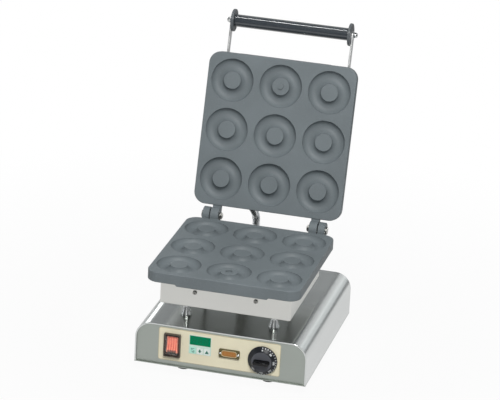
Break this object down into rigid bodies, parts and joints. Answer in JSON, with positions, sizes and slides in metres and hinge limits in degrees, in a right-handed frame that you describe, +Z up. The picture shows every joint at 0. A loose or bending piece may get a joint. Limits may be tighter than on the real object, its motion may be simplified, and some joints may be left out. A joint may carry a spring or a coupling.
{
  "type": "donut maker",
  "caption": "Tabletop electric maker for ring doughnuts: hinged pair of ring-mould plates with heaters, bar handle, timer, switch and thermostat on a bent-sheet base.",
  "frame": {"origin": "on the table, under the middle of the whole outline with the lid open", "axes": "+X to the user's right, +Y from the controls to the hinge, +Z up"},
  "size_m": [0.3, 0.4435, 0.5338],
  "materials": {
    "cover_steel": "brushed stainless steel",
    "rear_steel": "brushed stainless steel",
    "bottom_steel": "zinc-plated sheet",
    "box_steel": "fine-ground stainless steel",
    "feet_rubber": "black rubber",
    "fastener_steel": "zinc-plated steel",
    "bright_steel": "bright stainless steel",
    "overlay_plastic": "cream polyester film",
    "frame_plastic": "dark brown plastic",
    "black_plastic": "black plastic",
    "clear_plastic": "clear soft plastic",
    "rocker_plastic": "lit red plastic",
    "display_glass": "green filter window",
    "board": "circuit board",
    "key_teal": "pale teal plastic",
    "key_white": "white plastic",
    "lamp_frame": "dark olive plastic",
    "lens_amber": "amber ribbed plastic",
    "thermostat_body": "pale moulded plastic",
    "shaft_steel": "steel",
    "knob_plastic": "black phenolic plastic",
    "terminal_plastic": "ceramic terminal block",
    "gland_plastic": "grey nylon",
    "tube_steel": "steel",
    "standoff_steel": "turned bright steel",
    "plate_coating": "satin grey baking surface",
    "element_sheath": "dark oxidised steel",
    "clamp_steel": "steel sheet",
    "mineral_wool": "mineral wool",
    "gland_metal": "nickel-plated brass",
    "conduit_metal": "bright flexible metal conduit",
    "bar_chrome": "bright flat steel bar",
    "guard_plastic": "dark grey phenolic plastic",
    "grip_plastic": "black phenolic plastic"
  },
  "bodies": {
    "base": {"base_cover": "cover_steel", "front_panel": "cover_steel", "rear_panel": "rear_steel", "bottom_plate": "bottom_steel", "bottom_screws": "fastener_steel", "rubber_feet": "feet_rubber", "foot_screws": "fastener_steel", "control_overlay": "overlay_plastic", "switch_frame": "frame_plastic", "switch_housing": "black_plastic", "splash_cap": "clear_plastic", "display_window": "display_glass", "timer_board": "board", "lamp_bezel": "lamp_frame", "lamp_lens": "lens_amber", "lamp_screws": "bright_steel", "thermostat": "thermostat_body", "thermostat_screws": "fastener_steel", "terminal_block": "terminal_plastic", "mains_gland": "gland_plastic", "wiring_tube": "tube_steel", "standoffs": "standoff_steel", "standoff_bolts": "fastener_steel", "lower_plate": "plate_coating", "lower_element": "element_sheath", "lower_clamp": "clamp_steel", "lower_clamp_screws": "fastener_steel", "lower_wool": "mineral_wool", "lower_box": "box_steel", "lower_box_screws": "bright_steel", "hinge_pins": "fastener_steel", "hinge_nuts": "fastener_steel", "base_gland": "gland_metal", "conduit": "conduit_metal"},
    "lid": {"lid_plate": "plate_coating", "lid_element": "element_sheath", "lid_clamp": "clamp_steel", "lid_clamp_screws": "fastener_steel", "lid_wool": "mineral_wool", "lid_box": "box_steel", "lid_box_screws": "bright_steel", "lid_gland": "gland_metal", "handle_bar_left": "bar_chrome", "handle_bar_right": "bar_chrome", "bar_screws": "bright_steel", "handle_guards": "guard_plastic", "handle_grip": "grip_plastic", "handle_rod": "bright_steel", "handle_nuts": "bright_steel"},
    "rocker": {"switch_rocker": "rocker_plastic"},
    "key_set": {"key_set": "key_teal"},
    "key_down": {"key_down": "key_white"},
    "key_up": {"key_up": "key_white"},
    "knob": {"thermostat_shaft": "shaft_steel", "thermostat_knob": "knob_plastic"}
  },
  "joints": [
    {"name": "lid_hinge", "type": "hinge", "parent": "base", "child": "lid", "pos_m": [0, 0.07074, 0.194], "axis": [1, 0, 0], "range_deg": [0, 106], "deforming": ["conduit"]},
    {"name": "rocker_tilt", "type": "hinge", "parent": "base", "child": "rocker", "pos_m": [-0.0843, -0.19846, 0.0587], "axis": [1, 0, 0], "range_deg": [0, 18]},
    {"name": "key_set_press", "type": "slide", "parent": "base", "child": "key_set", "axis": [0, 1, 0], "range_m": [0, 0.0008], "stiffness_N_per_m": 500, "springref_m": -0.0004},
    {"name": "key_down_press", "type": "slide", "parent": "base", "child": "key_down", "axis": [0, 1, 0], "range_m": [0, 0.0008], "stiffness_N_per_m": 500, "springref_m": -0.0004},
    {"name": "key_up_press", "type": "slide", "parent": "base", "child": "key_up", "axis": [0, 1, 0], "range_m": [0, 0.0008], "stiffness_N_per_m": 500, "springref_m": -0.0004},
    {"name": "thermostat_turn", "type": "hinge", "parent": "base", "child": "knob", "pos_m": [0.074, -0.20046, 0.056], "axis": [0, 1, 0], "range_deg": [0, 270]}
  ]
}
